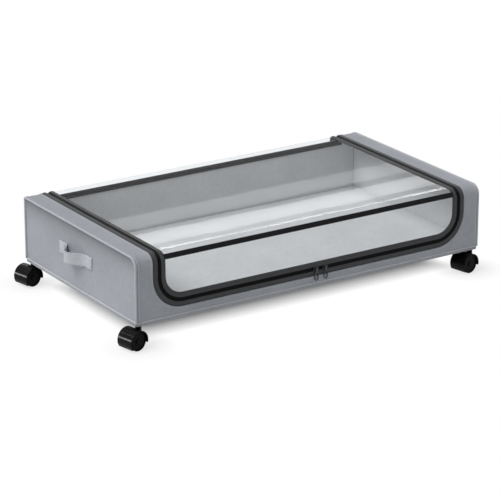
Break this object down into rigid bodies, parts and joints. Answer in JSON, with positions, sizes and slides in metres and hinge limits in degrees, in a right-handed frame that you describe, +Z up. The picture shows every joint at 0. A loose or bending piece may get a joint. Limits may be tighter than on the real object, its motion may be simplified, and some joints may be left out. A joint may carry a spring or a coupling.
{
  "type": "under bed storage box",
  "caption": "Low fabric box for storage under a bed, with a zipped clear lid and front flap, strap handles on its ends and hooded swivel casters under its corners.",
  "frame": {"origin": "on the floor under the middle of the box", "axes": "+X along the length to the right, +Y to the back, +Z up"},
  "size_m": [0.9084, 0.4908, 0.192],
  "materials": {
    "cover_fabric": "grey woven cover fabric, matt",
    "piping": "light grey covered piping",
    "lined_board": "stiff plastic board lined with light grey non-woven cloth",
    "webbing": "ribbed grey webbing",
    "zip_tape": "charcoal woven zip tape",
    "zip_coil": "black nylon coil",
    "binding": "charcoal folded binding tape",
    "clear_film": "clear glossy flexible sheet",
    "tube_steel": "plain steel tube",
    "socket_plastic": "black moulded plastic",
    "stem_steel": "zinc plated steel",
    "hood_plastic": "gloss black moulded plastic",
    "axle_steel": "ground steel",
    "wheel_plastic": "black nylon, slightly scuffed",
    "slider_metal": "gunmetal plated zinc"
  },
  "bodies": {
    "box": {"base_board": "lined_board", "bottom_cover": "cover_fabric", "base_piping": "piping", "front_rail": "tube_steel", "rear_rail": "tube_steel", "left_rail": "tube_steel", "right_rail": "tube_steel", "corner_sockets": "socket_plastic", "caster_stems": "stem_steel", "left_end_panel": "cover_fabric", "right_end_panel": "cover_fabric", "back_panel": "cover_fabric", "front_panel": "cover_fabric", "left_border": "cover_fabric", "right_border": "cover_fabric", "left_piping": "piping", "right_piping": "piping", "left_end_board": "lined_board", "right_end_board": "lined_board", "back_board": "lined_board", "front_board": "lined_board", "left_border_board": "lined_board", "right_border_board": "lined_board", "left_handle": "webbing", "right_handle": "webbing", "left_zip_tape": "zip_tape", "right_zip_tape": "zip_tape", "front_zip_tape": "zip_tape", "box_zip_coil": "zip_coil", "rear_binding": "binding"},
    "lid": {"lid_film": "clear_film", "left_lid_tape": "zip_tape", "right_lid_tape": "zip_tape", "lid_zip_coil": "zip_coil"},
    "flap": {"flap_film": "clear_film", "flap_zip_tape": "zip_tape", "flap_zip_coil": "zip_coil", "front_binding": "binding"},
    "left_slider": {"left_slider": "slider_metal"},
    "right_slider": {"right_slider": "slider_metal"},
    "left_pull": {"left_pull": "slider_metal"},
    "right_pull": {"right_pull": "slider_metal"},
    "front_left_caster": {"front_left_hood": "hood_plastic", "front_left_axle": "axle_steel"},
    "front_left_outer_wheel": {"front_left_outer_wheel": "wheel_plastic"},
    "front_left_inner_wheel": {"front_left_inner_wheel": "wheel_plastic"},
    "front_right_caster": {"front_right_hood": "hood_plastic", "front_right_axle": "axle_steel"},
    "front_right_outer_wheel": {"front_right_outer_wheel": "wheel_plastic"},
    "front_right_inner_wheel": {"front_right_inner_wheel": "wheel_plastic"},
    "rear_left_caster": {"rear_left_hood": "hood_plastic", "rear_left_axle": "axle_steel"},
    "rear_left_outer_wheel": {"rear_left_outer_wheel": "wheel_plastic"},
    "rear_left_inner_wheel": {"rear_left_inner_wheel": "wheel_plastic"},
    "rear_right_caster": {"rear_right_hood": "hood_plastic", "rear_right_axle": "axle_steel"},
    "rear_right_outer_wheel": {"rear_right_outer_wheel": "wheel_plastic"},
    "rear_right_inner_wheel": {"rear_right_inner_wheel": "wheel_plastic"}
  },
  "joints": [
    {"name": "lid_hinge", "type": "hinge", "parent": "box", "child": "lid", "pos_m": [0, 0.2312, 0.1812], "axis": [-1, 0, 0], "range_deg": [0, 180]},
    {"name": "flap_hinge", "type": "hinge", "parent": "lid", "child": "flap", "pos_m": [0, -0.22401, 0.18654], "axis": [-1, 0, 0], "range_deg": [0, 170]},
    {"name": "left_slider_run", "type": "slide", "parent": "flap", "child": "left_slider", "axis": [-1, 0, 0], "range_m": [0, 0.312]},
    {"name": "right_slider_run", "type": "slide", "parent": "flap", "child": "right_slider", "axis": [1, 0, 0], "range_m": [0, 0.281]},
    {"name": "left_pull_hinge", "type": "hinge", "parent": "left_slider", "child": "left_pull", "pos_m": [0.004, -0.234, 0.087], "axis": [-1, 0, 0], "range_deg": [0, 150]},
    {"name": "right_pull_hinge", "type": "hinge", "parent": "right_slider", "child": "right_pull", "pos_m": [0.027, -0.234, 0.087], "axis": [-1, 0, 0], "range_deg": [0, 150]},
    {"name": "front_left_swivel", "type": "hinge", "parent": "box", "child": "front_left_caster", "pos_m": [-0.4125, -0.2175, 0.034], "axis": [0, 0, 1], "continuous": true},
    {"name": "front_left_outer_roll", "type": "hinge", "parent": "front_left_caster", "child": "front_left_outer_wheel", "pos_m": [-0.42717, -0.22062, 0.02], "axis": [-0.2079, 0.9781, 0], "continuous": true},
    {"name": "front_left_inner_roll", "type": "hinge", "parent": "front_left_caster", "child": "front_left_inner_wheel", "pos_m": [-0.42717, -0.22062, 0.02], "axis": [-0.2079, 0.9781, 0], "continuous": true},
    {"name": "front_right_swivel", "type": "hinge", "parent": "box", "child": "front_right_caster", "pos_m": [0.4125, -0.2175, 0.034], "axis": [0, 0, 1], "continuous": true},
    {"name": "front_right_outer_roll", "type": "hinge", "parent": "front_right_caster", "child": "front_right_outer_wheel", "pos_m": [0.39783, -0.22062, 0.02], "axis": [-0.2079, 0.9781, 0], "continuous": true},
    {"name": "front_right_inner_roll", "type": "hinge", "parent": "front_right_caster", "child": "front_right_inner_wheel", "pos_m": [0.39783, -0.22062, 0.02], "axis": [-0.2079, 0.9781, 0], "continuous": true},
    {"name": "rear_left_swivel", "type": "hinge", "parent": "box", "child": "rear_left_caster", "pos_m": [-0.4125, 0.2175, 0.034], "axis": [0, 0, 1], "continuous": true},
    {"name": "rear_left_outer_roll", "type": "hinge", "parent": "rear_left_caster", "child": "rear_left_outer_wheel", "pos_m": [-0.42717, 0.21438, 0.02], "axis": [-0.2079, 0.9781, 0], "continuous": true},
    {"name": "rear_left_inner_roll", "type": "hinge", "parent": "rear_left_caster", "child": "rear_left_inner_wheel", "pos_m": [-0.42717, 0.21438, 0.02], "axis": [-0.2079, 0.9781, 0], "continuous": true},
    {"name": "rear_right_swivel", "type": "hinge", "parent": "box", "child": "rear_right_caster", "pos_m": [0.4125, 0.2175, 0.034], "axis": [0, 0, 1], "continuous": true},
    {"name": "rear_right_outer_roll", "type": "hinge", "parent": "rear_right_caster", "child": "rear_right_outer_wheel", "pos_m": [0.42717, 0.22062, 0.02], "axis": [-0.2079, 0.9781, 0], "continuous": true},
    {"name": "rear_right_inner_roll", "type": "hinge", "parent": "rear_right_caster", "child": "rear_right_inner_wheel", "pos_m": [0.42717, 0.22062, 0.02], "axis": [-0.2079, 0.9781, 0], "continuous": true}
  ]
}
